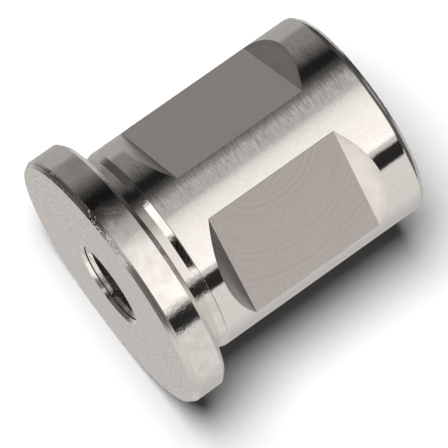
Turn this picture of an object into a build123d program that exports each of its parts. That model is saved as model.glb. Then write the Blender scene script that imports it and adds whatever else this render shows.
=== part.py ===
from build123d import *
from build123d.topology import SkipClean
import math
import os

# Flanged tool adapter with a 3/4 in side-lock shank, in millimetres.
# The turning axis is X. x = 0 is the shoulder, the flange face that seats on
# the machine's arbor. The flange is on the -X side and the shank on the +X side.

# Shank: a 3/4 in ground cylinder.
shank_dia = 19.05
shank_length = 22.1
shank_end_chamfer = 0.45
shank_end_round = 0.6

# Flange: a round collar with broken edges.
flange_dia = 23.75
flange_thickness = 3.3
front_edge_length = 0.5
front_edge_depth = 0.3
rear_edge_chamfer = 0.42

# Undercut between the shoulder and the ground part of the shank.
neck_depth = 0.18
neck_fillet = 0.45
neck_floor_end = 1.2
neck_cone_end = 1.8
run_out_width = 0.07
run_out_depth = 0.03

# Two set-screw flats, a quarter turn apart, milled with a 45 degree cutter.
flat_depth = 1.5
flat_start = 4.8
flat_length = 12.5
flat_wall_run = 1.6
flat_angles = (45, -45)

# The shank's round wall is divided into rings of its own along the flats' end walls,
# at these shares of an end wall's run out from the floor.
ring_shares = (0.1, 0.655, 1.0)
seam_angle = -88.35  # the round walls' seam, from +Y, runs beside the lowest line

# Tool bore, open at the flange face.
bore_dia = 6.3
bore_depth = 15.0
mouth_dia = 7.94
mouth_chamfer = 0.3

# Groove for the retaining ring, just inside the mouth.
groove_start = 0.38
groove_width = 0.72
groove_dia = 8.0

# Split spring ring that stands in the groove.
ring_outer_dia = 7.88
ring_inner_dia = 6.66
ring_side_gap = 0.03
ring_lead_in = 0.3
ring_gap = 0.3
ring_end_bevel = 0.2
ring_gap_angle = 175

# Square drive socket behind the bore, and the drift hole through the rear end.
square_width = 5.1
square_depth = 7.0
drift_dia = 4.2
drift_chamfer = 0.35

# Worked out from the sizes above.
shank_r = shank_dia / 2
flange_r = flange_dia / 2
neck_r = shank_r - neck_depth
bore_r = bore_dia / 2
mouth_r = mouth_dia / 2
drift_r = drift_dia / 2
flat_end = flat_start + flat_length
face_x = -flange_thickness
groove_x = face_x + groove_start
groove_end_x = groove_x + groove_width
bore_end_x = face_x + bore_depth
square_end_x = bore_end_x + square_depth


def turned(*edges):
    """Solid of revolution about X from the closed outline of the given edges."""
    return Rot(seam_angle, 0, 0) * revolve(make_face(Wire(edges)), Axis.X, clean=False)


def turned_polygon(*points):
    """Solid of revolution about X from the closed polygon through (x, radius) points."""
    return revolve(make_face(Polyline(*points, close=True)), Axis.X)


def outer_form():
    """Flange, undercut neck and shank as they leave the lathe, with no bore."""
    shoulder = Polyline(
        (face_x, 0),
        (face_x, flange_r - front_edge_depth),
        (face_x + front_edge_length, flange_r),
        (-rear_edge_chamfer, flange_r),
        (0, flange_r - rear_edge_chamfer),
        (0, neck_r + neck_fillet),
    )
    fillet = RadiusArc(
        (0, neck_r + neck_fillet), (neck_fillet, neck_r), neck_fillet
    )
    # The rounded corner between the cylinder and the 45 degree end chamfer.
    tangent = shank_end_round * math.tan(math.radians(22.5))
    corner_x = shank_length - shank_end_chamfer
    round_start = (corner_x - tangent, shank_r)
    round_end = (
        corner_x + tangent * math.cos(math.radians(45)),
        shank_r - tangent * math.sin(math.radians(45)),
    )
    front_rings = [(flat_start - flat_wall_run * share, shank_r) for share in ring_shares]
    rear_rings = [(flat_end + flat_wall_run * share, shank_r) for share in ring_shares]
    shank = Polyline(
        (neck_fillet, neck_r),
        (neck_floor_end, neck_r),
        (neck_cone_end, shank_r),
        (neck_cone_end + run_out_width / 2, shank_r - run_out_depth),
        (neck_cone_end + run_out_width, shank_r),
        *reversed(front_rings),
        *rear_rings,
        round_start,
    )
    end_round = RadiusArc(round_start, round_end, shank_end_round)
    end = Polyline(
        round_end,
        (shank_length, shank_r - shank_end_chamfer),
        (shank_length, 0),
        (face_x, 0),
    )
    return turned(
        *shoulder.edges(), *fillet.edges(), *shank.edges(), *end_round.edges(), *end.edges()
    )


def set_screw_flat(angle):
    """Cutter volume of one flat: a level floor with a sloping wall at each end."""
    floor_r = shank_r - flat_depth
    slope = flat_wall_run / flat_depth
    rise = flat_depth + 1
    with BuildPart() as cutter:
        with BuildSketch(Plane.XZ):
            with BuildLine():
                Polyline(
                    (flat_start, floor_r),
                    (flat_end, floor_r),
                    (flat_end + rise * slope, floor_r + rise),
                    (flat_start - rise * slope, floor_r + rise),
                    close=True,
                )
            make_face()
        extrude(amount=shank_r, both=True)
    return Rot(angle, 0, 0) * cutter.part


def bore_space():
    """Everything turned or drilled out along the axis, from the mouth to the drift hole."""
    return turned_polygon(
        (face_x - 1, 0),
        (face_x - 1, mouth_r + 1),
        (face_x + mouth_chamfer, mouth_r - mouth_chamfer),
        (groove_x, mouth_r - mouth_chamfer),
        (groove_x, groove_dia / 2),
        (groove_end_x, groove_dia / 2),
        (groove_end_x, bore_r),
        (bore_end_x, bore_r),
        (bore_end_x, drift_r),
        (shank_length - drift_chamfer, drift_r),
        (shank_length + 1, drift_r + drift_chamfer + 1),
        (shank_length + 1, 0),
    )


def square_socket():
    """Square drive socket, its corners cut off by facets that touch the bore's own circle."""
    depth_first = (Align.MIN, Align.CENTER, Align.CENTER)
    square = Box(square_depth, square_width, square_width, align=depth_first)
    corner_limit = Box(square_depth, bore_dia, bore_dia, align=depth_first)
    return Pos(bore_end_x, 0, 0) * (square & Rot(45, 0, 0) * corner_limit)


def adapter_body():
    """The one-piece steel body: flange, neck, shank, flats and bore."""
    # The shank's round wall stays divided into its rings, so that the two full lands
    # and the strip between the flats are faces of their own.
    with SkipClean():
        body = outer_form()
        for angle in flat_angles:
            body -= set_screw_flat(angle)
        body -= bore_space()
        body -= square_socket()
    return body


def retaining_ring():
    """Split ring with a lead-in chamfer, its gap pointing down and slightly forward."""
    front = groove_x + ring_side_gap
    back = groove_end_x - ring_side_gap
    outer = ring_outer_dia / 2
    inner = ring_inner_dia / 2
    ring = turned_polygon(
        (front, outer),
        (back, outer),
        (back, inner),
        (front + ring_lead_in, inner),
        (front, inner + ring_lead_in),
    )
    half = ring_gap / 2
    flare = half + ring_end_bevel
    with BuildPart() as gap:
        with BuildSketch(Plane.YZ.offset(front - 1)):
            with BuildLine():
                Polyline(
                    (half, outer + 1),
                    (half, inner + ring_end_bevel),
                    (flare, inner),
                    (flare, inner - 1),
                    (-flare, inner - 1),
                    (-flare, inner),
                    (-half, inner + ring_end_bevel),
                    (-half, outer + 1),
                    close=True,
                )
            make_face()
        extrude(amount=groove_width + 2)
    return ring - Rot(ring_gap_angle, 0, 0) * gap.part


nodes = {
    "adapter_body": adapter_body(),
    "retaining_ring": retaining_ring(),
}

os.makedirs("parts", exist_ok=True)
for name, shape in nodes.items():
    export_step(shape, f"parts/{name}.step")
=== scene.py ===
import math

import bpy
from mathutils import Matrix, Vector


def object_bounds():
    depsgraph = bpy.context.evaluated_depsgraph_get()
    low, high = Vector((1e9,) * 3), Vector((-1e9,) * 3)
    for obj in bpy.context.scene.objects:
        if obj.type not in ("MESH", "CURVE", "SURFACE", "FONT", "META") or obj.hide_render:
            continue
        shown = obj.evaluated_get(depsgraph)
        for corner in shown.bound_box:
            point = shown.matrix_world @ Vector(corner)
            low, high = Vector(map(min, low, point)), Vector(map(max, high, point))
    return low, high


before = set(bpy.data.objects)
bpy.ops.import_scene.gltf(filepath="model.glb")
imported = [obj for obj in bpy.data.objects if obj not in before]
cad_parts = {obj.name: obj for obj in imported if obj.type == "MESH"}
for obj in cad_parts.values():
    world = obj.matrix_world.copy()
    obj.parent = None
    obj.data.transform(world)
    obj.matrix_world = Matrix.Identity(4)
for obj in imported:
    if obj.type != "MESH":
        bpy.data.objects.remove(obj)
cad_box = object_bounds()

MM = 0.001
FLOOR_Z = cad_box[0].z

# The camera looks down on the adapter, which lies on its side.
CAMERA_SPIN = math.radians(10.46)  # round the turning axis from straight above, towards -Y
CAMERA_LEAN = math.radians(11.43)  # from square on to the axis, towards the flange
CAMERA_ROLL = math.radians(35.2)
CAMERA_DISTANCE = 0.3618
CAMERA_AIM = Vector((7.10, -1.75, 1.82)) * MM
CAMERA_LENS = 357.0  # on a 36 mm sensor

# Places on the adapter that its finishes follow, in millimetres.
FLANGE_FACE_X = -3.3
FLANGE_R = 11.875
FRONT_EDGE_X = FLANGE_FACE_X + 0.52  # just behind the flange's broken front edge
FRONT_EDGE_R = FLANGE_R - 0.33
NECK_FLOOR_X = (0.15, 1.15)
GROUND_START_X = 1.84  # the shank is ground from here to its end
SHANK_R = 9.525
SHANK_END_X = 22.1
FLAT_FLOOR = 8.025  # from the axis to a set-screw flat
FLAT_MIDDLE_X = 11.05
FLAT_REACH = 8.5  # from a flat's middle, along the axis, past its end walls
FLAT_RIM_SHADE_LINE = (5.08, 5.3)  # across a flat, the band along its long rim on the other flat's side, painted with a line of shade
WALL_SHADE_FROM_R = 8.9  # an end wall's painted shade starts here and deepens outwards
BORE_START_X = FLANGE_FACE_X + 0.31  # just behind the mouth's chamfer
GROOVE_R = 4.0
HAIR = 0.01  # how far a limit stands off the face that it picks out
FACET_SAG = 0.012  # more than the facets of a round wall lie inside its true circle
SKIN = 0.1  # how far below an outer surface its own marks still count

# Stretches across the adapter that handling has marked, in millimetres along Y.
RUBBED_SHANK = (0.1, 6.2)
STAINED_RIM = (1.2, 5.6)
BATTERED_EDGE = (-1.0, 3.5)
WORN_EDGE = (-3.0, -1.0)
BRIGHT_EDGE = (-9.5, -7.5)

# The cutter's two sets of arcs on a flat: centre along the axis and across, and spacing.
CUTTER_ARCS = ((FLAT_MIDDLE_X, 7.6, 0.34), (FLAT_MIDDLE_X + 6.5, -6.5, 0.30))


def tone(level):
    """A plain grey."""
    return (level, level, level, 1.0)


class Graph:
    """Short calls for building a node tree."""

    def __init__(self, tree):
        self.tree = tree
        tree.nodes.clear()

    def node(self, kind, inputs=None, **settings):
        made = self.tree.nodes.new(kind)
        for name, value in settings.items():
            setattr(made, name, value)
        for name, value in (inputs or {}).items():
            self.join(value, made.inputs[name])
        return made

    def join(self, value, socket):
        if isinstance(value, bpy.types.NodeSocket):
            self.tree.links.new(value, socket)
        else:
            socket.default_value = value

    def maths(self, operation, *values):
        made = self.node("ShaderNodeMath", operation=operation)
        for socket, value in zip(made.inputs, values):
            self.join(value, socket)
        return made.outputs[0]

    def total(self, first, *others):
        for other in others:
            first = self.maths("ADD", first, other)
        return first

    def product(self, first, *others):
        for other in others:
            first = self.maths("MULTIPLY", first, other)
        return first

    def minus(self, a, b):
        return self.maths("SUBTRACT", a, b)

    def length(self, a, b):
        """How long the vector with these two parts is."""
        return self.maths("SQRT", self.total(self.product(a, a), self.product(b, b)))

    def above(self, value, limit):
        """1 where value is above limit, and 0 elsewhere."""
        return self.maths("GREATER_THAN", value, limit)

    def below(self, value, limit):
        """1 where value is below limit, and 0 elsewhere."""
        return self.maths("LESS_THAN", value, limit)

    def near(self, value, middle, reach):
        """1 where value is within reach of middle, and 0 elsewhere."""
        return self.maths("COMPARE", value, middle, reach)

    def rise(self, value, low, high):
        """0 at low and 1 at high, smooth between and level beyond."""
        made = self.node(
            "ShaderNodeMapRange",
            {"Value": value, "From Min": low, "From Max": high},
            interpolation_type="SMOOTHSTEP",
        )
        return made.outputs["Result"]

    def window(self, value, low, high, soft):
        """1 from low to high, with soft edges."""
        enter = self.rise(value, low - soft, low + soft)
        leave = self.rise(value, high + soft, high - soft)
        return self.product(enter, leave)

    def spread(self, value, low, high):
        """0..1 stretched to low..high."""
        made = self.node("ShaderNodeMapRange", {"Value": value, "To Min": low, "To Max": high})
        return made.outputs["Result"]

    def mix(self, amount, a, b):
        """A number that goes from a to b."""
        made = self.node("ShaderNodeMix", data_type="FLOAT")
        self.join(amount, made.inputs[0])
        self.join(a, made.inputs[2])
        self.join(b, made.inputs[3])
        return made.outputs[0]

    def blend(self, amount, a, b):
        """A colour that goes from a to b."""
        made = self.node("ShaderNodeMix", data_type="RGBA")
        self.join(amount, made.inputs[0])
        self.join(a, made.inputs[6])
        self.join(b, made.inputs[7])
        return made.outputs[2]

    def tint(self, colour, other, *masks):
        """The colour, gone over to the other one as far as the masks' product says."""
        return self.blend(self.product(*masks), colour, other)

    def scaled(self, place, x, y, z):
        made = self.node("ShaderNodeVectorMath", operation="MULTIPLY")
        self.join(place, made.inputs[0])
        made.inputs[1].default_value = (x, y, z)
        return made.outputs[0]

    def noise(self, point, along, around, detail, rough=0.5):
        """Noise with so many features to the millimetre along the turning axis and around it."""
        place = self.scaled(point, along, around, around)
        made = self.node(
            "ShaderNodeTexNoise",
            {"Vector": place, "Scale": 1.0, "Detail": detail, "Roughness": rough},
        )
        return made.outputs["Fac"]

    def grain(self, point, per_mm, detail, rough=0.5):
        """Noise with as many features to the millimetre in every direction."""
        return self.noise(point, per_mm, per_mm, detail, rough)

    def lines(self, distance, per_mm, sway, detail, rough):
        """Noise that changes with one distance only, its lines moved aside by sway."""
        made = self.node(
            "ShaderNodeTexNoise",
            {
                "W": self.total(self.product(distance, per_mm), sway),
                "Scale": 1.0,
                "Detail": detail,
                "Roughness": rough,
            },
            noise_dimensions="1D",
        )
        return made.outputs["Fac"]

    def relief(self, *layers):
        """The sum of layers, each given with its height in millimetres."""
        return self.total(*(self.product(layer, height) for layer, height in layers))


# The studio that the steel mirrors. A direction is told by its angle about the turning
# axis, in degrees from straight up towards -Y, and by its lean towards +X, from -1 to 1.
# The level all round the axis, as angle and level:
SKY_BY_ANGLE = (
    (-180, 0.45),
    (-150, 0.50),
    (-112, 0.58),
    (-104, 0.36),
    (-80, 0.33),
    (-64, 0.14),
    (-56, 0.02),
    (-46, 0.02),
    (-38, 0.12),
    (-30, 0.38),
    (-25, 0.66),
    (-11, 0.72),
    (-6, 1.06),
    (2, 1.30),
    (18, 1.48),
    (46, 1.58),
    (48.5, 1.66),
    (53, 1.66),
    (54, 0.90),
    (58.5, 0.90),
    (60, 0.03),
    (76, 0.03),
    (78, 1.06),
    (130, 1.00),
    (165, 0.62),
)
SKY_PEAK = 2.0  # the level that the colour ramp's white stands for
# Dark and pale cards: angle from and to, lean from and to, level, softness of the edge.
SKY_CARDS = (
    (8, 46, -0.62, -0.28, 0.01, 0.04),
    (-34, 6, -0.60, -0.24, 1.70, 0.03),
    (-130, -60, -1.2, -0.30, 0.18, 0.10),
    (-118, -60, -0.34, -0.05, 0.11, 0.10),
    (-142, -60, 0.44, 1.2, 0.09, 0.08),
    (-181, -142, 0.84, 1.2, 0.20, 0.06),
    (-60, 60, 0.60, 1.2, 0.15, 0.08),
    (60, 140, 0.55, 1.2, 0.14, 0.06),
    (-160, -134, 0.38, 0.84, 0.75, 0.04),
    (158, 181, 0.90, 1.2, 0.20, 0.04),
    (85, 150, -1.2, -0.50, 1.08, 0.08),
    (90, 150, -1.2, -0.74, 1.60, 0.04),
    (6, 80, -1.2, -0.60, 0.28, 0.06),
    (150, 181, -1.2, 0.02, 0.85, 0.08),
    (-181, -140, -1.2, 0.02, 0.85, 0.08),
    (-181, 181, 0.985, 1.2, 0.90, 0.01),
)
DEGREES_OF_SOFTNESS = 60
WARM_WHITE = (1.0, 0.985, 0.965, 1.0)
THROWN_BACK = 0.25  # the share of the studio that the steel throws onto the table


def sky_level(g):
    """How bright the studio is in each direction."""
    direction = g.node("ShaderNodeTexCoord").outputs["Generated"]
    split = g.node("ShaderNodeSeparateXYZ", {"Vector": direction})
    lean = split.outputs["X"]
    across = g.product(split.outputs["Y"], -1.0)
    angle = g.maths("DEGREES", g.maths("ARCTAN2", across, split.outputs["Z"]))
    ramp = g.node("ShaderNodeValToRGB", {"Fac": g.total(g.maths("DIVIDE", angle, 360.0), 0.5)})
    points = ramp.color_ramp.elements
    while len(points) < len(SKY_BY_ANGLE):
        points.new(1.0)
    for point, (degrees, level) in zip(points, SKY_BY_ANGLE):
        point.position = (degrees + 180) / 360
        point.color = tone(level / SKY_PEAK)
    level = g.product(ramp.outputs["Color"], SKY_PEAK)
    for start, end, lean_start, lean_end, card_level, soft in SKY_CARDS:
        by_angle = g.window(angle, start, end, soft * DEGREES_OF_SOFTNESS)
        by_lean = g.window(lean, lean_start, lean_end, soft)
        level = g.mix(g.product(by_angle, by_lean), level, card_level)
    return level


def set_up_world():
    world = bpy.data.worlds.new("studio")
    bpy.context.scene.world = world
    world.use_nodes = True
    g = Graph(world.node_tree)
    path = g.node("ShaderNodeLightPath")
    direct = g.below(path.outputs["Diffuse Depth"], 0.5)
    strength = g.product(sky_level(g), g.spread(direct, THROWN_BACK, 1.0))
    # Seen past the table, the studio is plain white.
    seen = path.outputs["Is Camera Ray"]
    strength = g.mix(seen, strength, 1.0)
    colour = g.blend(seen, WARM_WHITE, tone(1.0))
    background = g.node("ShaderNodeBackground", {"Color": colour, "Strength": strength})
    g.node("ShaderNodeOutputWorld", {"Surface": background.outputs[0]})
    world.cycles_visibility.diffuse = False


def add_object(name, data):
    made = bpy.data.objects.new(name, data)
    bpy.context.scene.collection.objects.link(made)
    return made


def new_material(name):
    material = bpy.data.materials.new(name)
    material.use_nodes = True
    return material, Graph(material.node_tree)


def area_light(name, place, aim, size, power):
    """A soft light that lights the table, and doesn't show as a disc in the steel."""
    data = bpy.data.lights.new(name, "AREA")
    data.shape = "DISK"
    data.size = size
    data.energy = power
    light = add_object(name, data)
    light.location = place
    light.rotation_mode = "QUATERNION"
    light.rotation_quaternion = (Vector(aim) - Vector(place)).to_track_quat("-Z", "Y")
    light.visible_glossy = False


def set_up_lights():
    aim = (0.009, 0, FLOOR_Z)
    area_light("key", place=(-0.047, 0.056, 0.39), aim=aim, size=0.215, power=2.35)
    area_light("fill", place=(0.0, 0.0, 0.6), aim=aim, size=1.2, power=0.20)


def set_up_floor():
    """A matt table, which away from the adapter goes over into the studio's plain white."""
    reach = 4.0
    matt_until = 0.06
    white_from = 0.18
    mesh = bpy.data.meshes.new("floor")
    corners = [(x * reach, y * reach, FLOOR_Z) for x, y in ((-1, -1), (1, -1), (1, 1), (-1, 1))]
    mesh.from_pydata(corners, [], [(0, 1, 2, 3)])
    floor = add_object("floor", mesh)
    material, g = new_material("floor_white")
    material.cycles.emission_sampling = "NONE"
    place = g.node("ShaderNodeTexCoord").outputs["Object"]
    distance = g.node("ShaderNodeVectorMath", {0: place}, operation="LENGTH").outputs["Value"]
    far = g.rise(distance, matt_until, white_from)
    matt = g.node("ShaderNodeBsdfDiffuse", {"Color": tone(0.8)})
    white = g.node("ShaderNodeEmission", {"Color": tone(1.0)})
    table = g.node("ShaderNodeMixShader", {0: far, 1: matt.outputs[0], 2: white.outputs[0]})
    g.node("ShaderNodeOutputMaterial", {"Surface": table.outputs[0]})
    mesh.materials.append(material)
    floor.visible_glossy = False


def set_up_camera():
    spin = Matrix.Rotation(CAMERA_SPIN, 3, "X")
    up_from_axis = spin @ Vector((0, 0, 1))
    across = spin @ Vector((0, -1, 0))
    axis = Vector((1, 0, 0))
    level_right = math.cos(CAMERA_LEAN) * axis + math.sin(CAMERA_LEAN) * up_from_axis
    forward = math.sin(CAMERA_LEAN) * axis - math.cos(CAMERA_LEAN) * up_from_axis
    right = math.cos(CAMERA_ROLL) * level_right + math.sin(CAMERA_ROLL) * across
    up = math.sin(CAMERA_ROLL) * level_right - math.cos(CAMERA_ROLL) * across
    data = bpy.data.cameras.new("camera")
    data.sensor_width = 36.0
    data.lens = CAMERA_LENS
    data.clip_start = 0.01
    data.clip_end = 10.0
    camera = add_object("camera", data)
    turned = Matrix((right, up, -forward)).transposed().to_4x4()
    camera.matrix_world = Matrix.Translation(CAMERA_AIM - forward * CAMERA_DISTANCE) @ turned
    bpy.context.scene.camera = camera


class Place:
    """Where a point of the adapter is, in millimetres, as node outputs."""

    def __init__(self, g):
        coordinates = g.node("ShaderNodeTexCoord").outputs["Object"]
        self.point = g.scaled(coordinates, 1000, 1000, 1000)
        split = g.node("ShaderNodeSeparateXYZ", {"Vector": self.point})
        self.x, self.y, self.z = (split.outputs[name] for name in "XYZ")
        self.r = g.length(self.y, self.z)
        # Height over each flat's own plane, which is also the place across the other flat.
        slant = math.sqrt(0.5)
        self.right_height = g.product(g.minus(self.z, self.y), slant)
        self.left_height = g.product(g.total(self.y, self.z), slant)


class Finish:
    """A surface finish: its colour, its roughness and its height in millimetres."""

    def __init__(self, colour, roughness, height):
        self.colour = colour
        self.roughness = roughness
        self.height = height

    def over(self, g, mask, under):
        """This finish where mask is 1, and the one under it elsewhere."""
        return Finish(
            g.blend(mask, under.colour, self.colour),
            g.mix(mask, under.roughness, self.roughness),
            g.mix(mask, under.height, self.height),
        )


BRIGHT_STEEL = (0.655, 0.632, 0.606, 1.0)
GREY_STEEL = (0.585, 0.553, 0.525, 1.0)
DULL_STEEL = (0.520, 0.486, 0.455, 1.0)
PAINTED_SHADE_STEEL = (0.130, 0.120, 0.110, 1.0)
DARK_SMEAR = (0.27, 0.25, 0.235, 1.0)
PALE_SMEAR = (0.88, 0.86, 0.84, 1.0)
GROUND_GRAIN = (0.46, 0.44, 0.42, 1.0)
TURNED_STREAK = (0.40, 0.375, 0.35, 1.0)
RIM_STAIN = (0.30, 0.278, 0.258, 1.0)
EDGE_TROUGH = (0.24, 0.222, 0.205, 1.0)
NICK_AND_GLINT = (0.92, 0.90, 0.88, 1.0)
FACED_DARK = (0.400, 0.370, 0.346, 1.0)
FACED_PALE = (0.725, 0.693, 0.661, 1.0)
PALE_RING = (0.72, 0.69, 0.665, 1.0)
DARK_RING = (0.44, 0.41, 0.385, 1.0)
ROSY_CLOUD = (0.63, 0.560, 0.54, 1.0)
MILLED_DARK = (0.568, 0.522, 0.498, 1.0)
MILLED_PALE = (0.632, 0.584, 0.558, 1.0)
MILLED_TINT = (0.618, 0.560, 0.534, 1.0)
WALL_PALE = (0.70, 0.672, 0.646, 1.0)
WALL_BLOTCH_AND_SHADE = (0.44, 0.405, 0.38, 1.0)
SHADED_BORE_LIGHTER = (0.30, 0.28, 0.26, 1.0)
SPRING_PALE = (0.86, 0.84, 0.81, 1.0)


def ground_finish(g, at):
    """Fine grinding lines round the axis, rubbed dull in streaks over the top."""
    lay = g.noise(at.point, 6.0, 1.6, 4.0, 0.6)
    clouds = g.grain(at.point, 0.8, 3.0, 0.6)
    streaks = g.noise(at.point, 13.0, 0.9, 3.0, 0.7)
    grain = g.grain(at.point, 5.0, 3.0, 0.7)
    rubbed = g.product(g.window(at.y, *RUBBED_SHANK, 0.7), g.rise(clouds, 0.20, 0.50))
    dark_streak = g.product(g.rise(streaks, 0.50, 0.60), rubbed)
    colour = g.blend(g.spread(clouds, 0.4, 1.0), GREY_STEEL, BRIGHT_STEEL)
    colour = g.tint(colour, DARK_SMEAR, dark_streak, 0.65)
    colour = g.tint(colour, PALE_SMEAR, g.rise(streaks, 0.42, 0.32), rubbed)
    colour = g.tint(colour, GROUND_GRAIN, g.rise(grain, 0.42, 0.60), 0.25)
    roughness = g.total(g.spread(clouds, 0.04, 0.10), g.product(dark_streak, 0.12))
    return Finish(colour, roughness, g.relief((lay, 0.0035), (clouds, 0.006)))


def turned_finish(g, at):
    """Turning marks round the axis, stained on the flange's rim and darker on the neck's floor.
    """
    hatch = g.noise(at.point, 3.5, 3.0, 4.0, 0.65)
    clouds = g.grain(at.point, 0.8, 3.0)
    streaks = g.noise(at.point, 6.0, 0.8, 4.0, 0.7)
    rim = g.above(at.r, FLANGE_R - SKIN)
    stain = g.product(g.window(at.y, *STAINED_RIM, 0.7), rim, g.rise(clouds, 0.3, 0.5))
    neck = g.product(g.window(at.x, *NECK_FLOOR_X, 0.06), g.below(at.r, SHANK_R - SKIN))
    colour = g.blend(g.rise(clouds, 0.35, 0.65), GREY_STEEL, BRIGHT_STEEL)
    colour = g.tint(colour, TURNED_STREAK, g.rise(streaks, 0.45, 0.75), 0.3)
    colour = g.tint(colour, RIM_STAIN, stain, 0.75)
    # The neck's floor, behind the flange, is made darker.
    colour = g.tint(colour, DULL_STEEL, neck, 0.8)
    roughness = g.spread(clouds, 0.05, 0.14)
    return Finish(colour, roughness, g.relief((hatch, 0.0085), (clouds, 0.012)))


def edge_finish(g, at):
    """The flange's broken front edge: dark turned ripples with nicks, whose bright colour is
    partly a painted glint.
    """
    wander = g.grain(at.point, 0.7, 2.0)
    ripples = g.lines(g.total(at.x, at.r), 5.5, g.product(wander, 0.8), 2.0, 0.6)
    nicks = g.grain(at.point, 2.6, 3.0, 0.7)
    battered = g.window(at.y, *BATTERED_EDGE, 1.5)
    # Towards -Y the marks are worn away to an even grey, and then to bright steel.
    kept = g.rise(at.y, *WORN_EDGE)
    worn_to = g.mix(g.rise(at.y, *BRIGHT_EDGE), 0.60, 0.50)
    worn_to = g.total(worn_to, g.product(g.minus(ripples, 0.5), 0.35))
    ripples = g.mix(kept, worn_to, g.mix(g.product(battered, 0.7), ripples, 0.58))
    hit = g.product(g.rise(g.total(nicks, g.product(battered, 0.08)), 0.60, 0.68), kept)
    colour = g.blend(g.rise(ripples, 0.40, 0.56), EDGE_TROUGH, GREY_STEEL)
    # Nicks on the edge, coloured brighter than steel as a painted glint.
    colour = g.tint(colour, NICK_AND_GLINT, hit)
    roughness = g.mix(hit, 0.18, 0.40)
    return Finish(colour, roughness, g.relief((ripples, 0.012), (hit, 0.035)))


def faced_finish(g, at):
    """The two end faces: fine facing rings about the axis under a stippled grain."""
    grain = g.grain(at.point, 6.5, 3.0, 0.7)
    wander = g.grain(at.point, 0.4, 2.0)
    rings = g.lines(at.r, 4.0, g.product(wander, 1.2), 3.0, 0.7)
    colour = g.blend(g.rise(grain, 0.38, 0.62), FACED_DARK, FACED_PALE)
    colour = g.tint(colour, PALE_RING, g.rise(rings, 0.50, 0.66), 0.5)
    colour = g.tint(colour, DARK_RING, g.rise(rings, 0.50, 0.34), 0.4)
    colour = g.tint(colour, ROSY_CLOUD, g.rise(wander, 0.5, 0.66), 0.5)
    roughness = g.spread(grain, 0.26, 0.46)
    return Finish(colour, roughness, g.relief((rings, 0.006), (grain, 0.005)))


def milled_finish(g, at, across):
    """A flat's floor: two sets of faint arcs left by the cutter's front and back edges, and a
    painted shade line along its long rim.
    """
    sway = g.product(g.grain(at.point, 0.30, 2.0), 1.2)
    arcs = []
    for centre_x, centre_across, spacing in CUTTER_ARCS:
        distance = g.length(g.minus(at.x, centre_x), g.minus(across, centre_across))
        arcs.append(g.lines(distance, 1 / spacing, sway, 3.0, 0.7))
    patches = g.rise(g.grain(at.point, 0.35, 1.0), 0.48, 0.66)
    marks = g.mix(patches, *arcs)
    grain = g.grain(at.point, 4.0, 3.0, 0.7)
    clouds = g.grain(at.point, 0.25, 2.0)
    colour = g.blend(g.rise(marks, 0.36, 0.64), MILLED_DARK, MILLED_PALE)
    colour = g.tint(colour, DULL_STEEL, g.rise(grain, 0.42, 0.62), 0.3)
    colour = g.tint(colour, MILLED_TINT, g.rise(clouds, 0.45, 0.65), 0.3)
    # Painted shade: a dark line along the flat's long rim.
    colour = g.tint(colour, PAINTED_SHADE_STEEL, g.window(across, *FLAT_RIM_SHADE_LINE, 0.02))
    roughness = g.total(g.spread(marks, 0.25, 0.33), g.spread(grain, 0.0, 0.06))
    return Finish(colour, roughness, g.relief((marks, 0.0028), (grain, 0.0020)))


def wall_finish(g, at):
    """A flat's sloping end wall: coarse marks of the cutter's corner, darker blotches, and
    painted shade towards its outer edge.
    """
    marks = g.noise(at.point, 1.4, 3.0, 3.0, 0.7)
    clouds = g.grain(at.point, 0.5, 2.0)
    colour = g.blend(marks, GREY_STEEL, WALL_PALE)
    colour = g.tint(colour, WALL_BLOTCH_AND_SHADE, g.rise(clouds, 0.42, 0.62), 0.2)
    # Painted shade: the end wall darkens towards its outer edge.
    colour = g.tint(colour, WALL_BLOTCH_AND_SHADE, g.rise(at.r, WALL_SHADE_FROM_R, SHANK_R), 0.4)
    roughness = g.spread(marks, 0.24, 0.40)
    return Finish(colour, roughness, g.relief((marks, 0.012), (clouds, 0.05)))


def shaded_bore_finish(g, at):
    """The drilled inside with its drilling marks, painted dark as the shade in the hole."""
    marks = g.noise(at.point, 6.0, 1.2, 3.0)
    # Painted shade: the bore's colour stands for the darkness inside the hole.
    colour = g.blend(marks, PAINTED_SHADE_STEEL, SHADED_BORE_LIGHTER)
    return Finish(colour, g.spread(marks, 0.3, 0.5), g.relief((marks, 0.004)))


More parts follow.
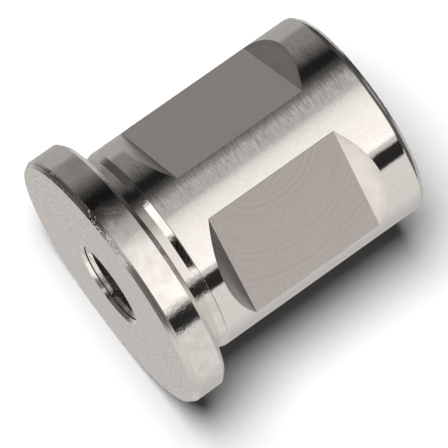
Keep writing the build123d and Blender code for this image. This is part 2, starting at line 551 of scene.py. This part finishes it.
def spring_finish(g, at):
    """The retaining ring, hardened dull and rubbed bright in patches."""
    marks = g.grain(at.point, 4.0, 3.0)
    patches = g.grain(at.point, 0.8, 1.0)
    colour = g.blend(g.rise(patches, 0.45, 0.6), DULL_STEEL, SPRING_PALE)
    return Finish(colour, g.spread(marks, 0.16, 0.32), g.relief((marks, 0.006)))


def adapter_finish(g, at):
    """The adapter's finishes, each laid over the ones before it."""
    finish = ground_finish(g, at)
    flange = g.below(at.x, GROUND_START_X)
    finish = turned_finish(g, at).over(g, flange, finish)
    broken = g.product(g.below(at.x, FRONT_EDGE_X), g.above(at.r, FRONT_EDGE_R))
    finish = edge_finish(g, at).over(g, broken, finish)
    pocket = g.product(
        g.below(at.r, SHANK_R - FACET_SAG), g.near(at.x, FLAT_MIDDLE_X, FLAT_REACH)
    )
    finish = wall_finish(g, at).over(g, pocket, finish)
    for height, across in (
        (at.right_height, at.left_height),
        (at.left_height, at.right_height),
    ):
        floor = g.product(pocket, g.near(height, FLAT_FLOOR, HAIR))
        finish = milled_finish(g, at, across).over(g, floor, finish)
    # Inside the bore, the colour is painted shade.
    bore = g.product(g.below(at.r, GROOVE_R + HAIR), g.above(at.x, BORE_START_X))
    finish = shaded_bore_finish(g, at).over(g, bore, finish)
    front = g.below(at.x, FLANGE_FACE_X + HAIR)
    rear = g.above(at.x, SHANK_END_X - HAIR)
    return faced_finish(g, at).over(g, g.total(front, rear), finish)


def dress(node, name, finish_at):
    """Give a piece a steel of its own, with the finish that finish_at builds."""
    material, g = new_material(name)
    finish = finish_at(g, Place(g))
    bump = g.node(
        "ShaderNodeBump", {"Height": finish.height, "Strength": 1.0, "Distance": MM}
    )
    shader = g.node(
        "ShaderNodeBsdfPrincipled",
        {
            "Base Color": finish.colour,
            "Metallic": 1.0,
            "Roughness": finish.roughness,
            "Normal": bump.outputs["Normal"],
        },
    )
    g.node("ShaderNodeOutputMaterial", {"Surface": shader.outputs[0]})
    for slot in node.material_slots:
        slot.material = material


bpy.context.scene.view_settings.view_transform = "Standard"
set_up_world()
set_up_lights()
set_up_floor()
set_up_camera()
dress(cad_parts["adapter_body"], "adapter_steel", adapter_finish)
dress(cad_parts["retaining_ring"], "ring_steel", spring_finish)
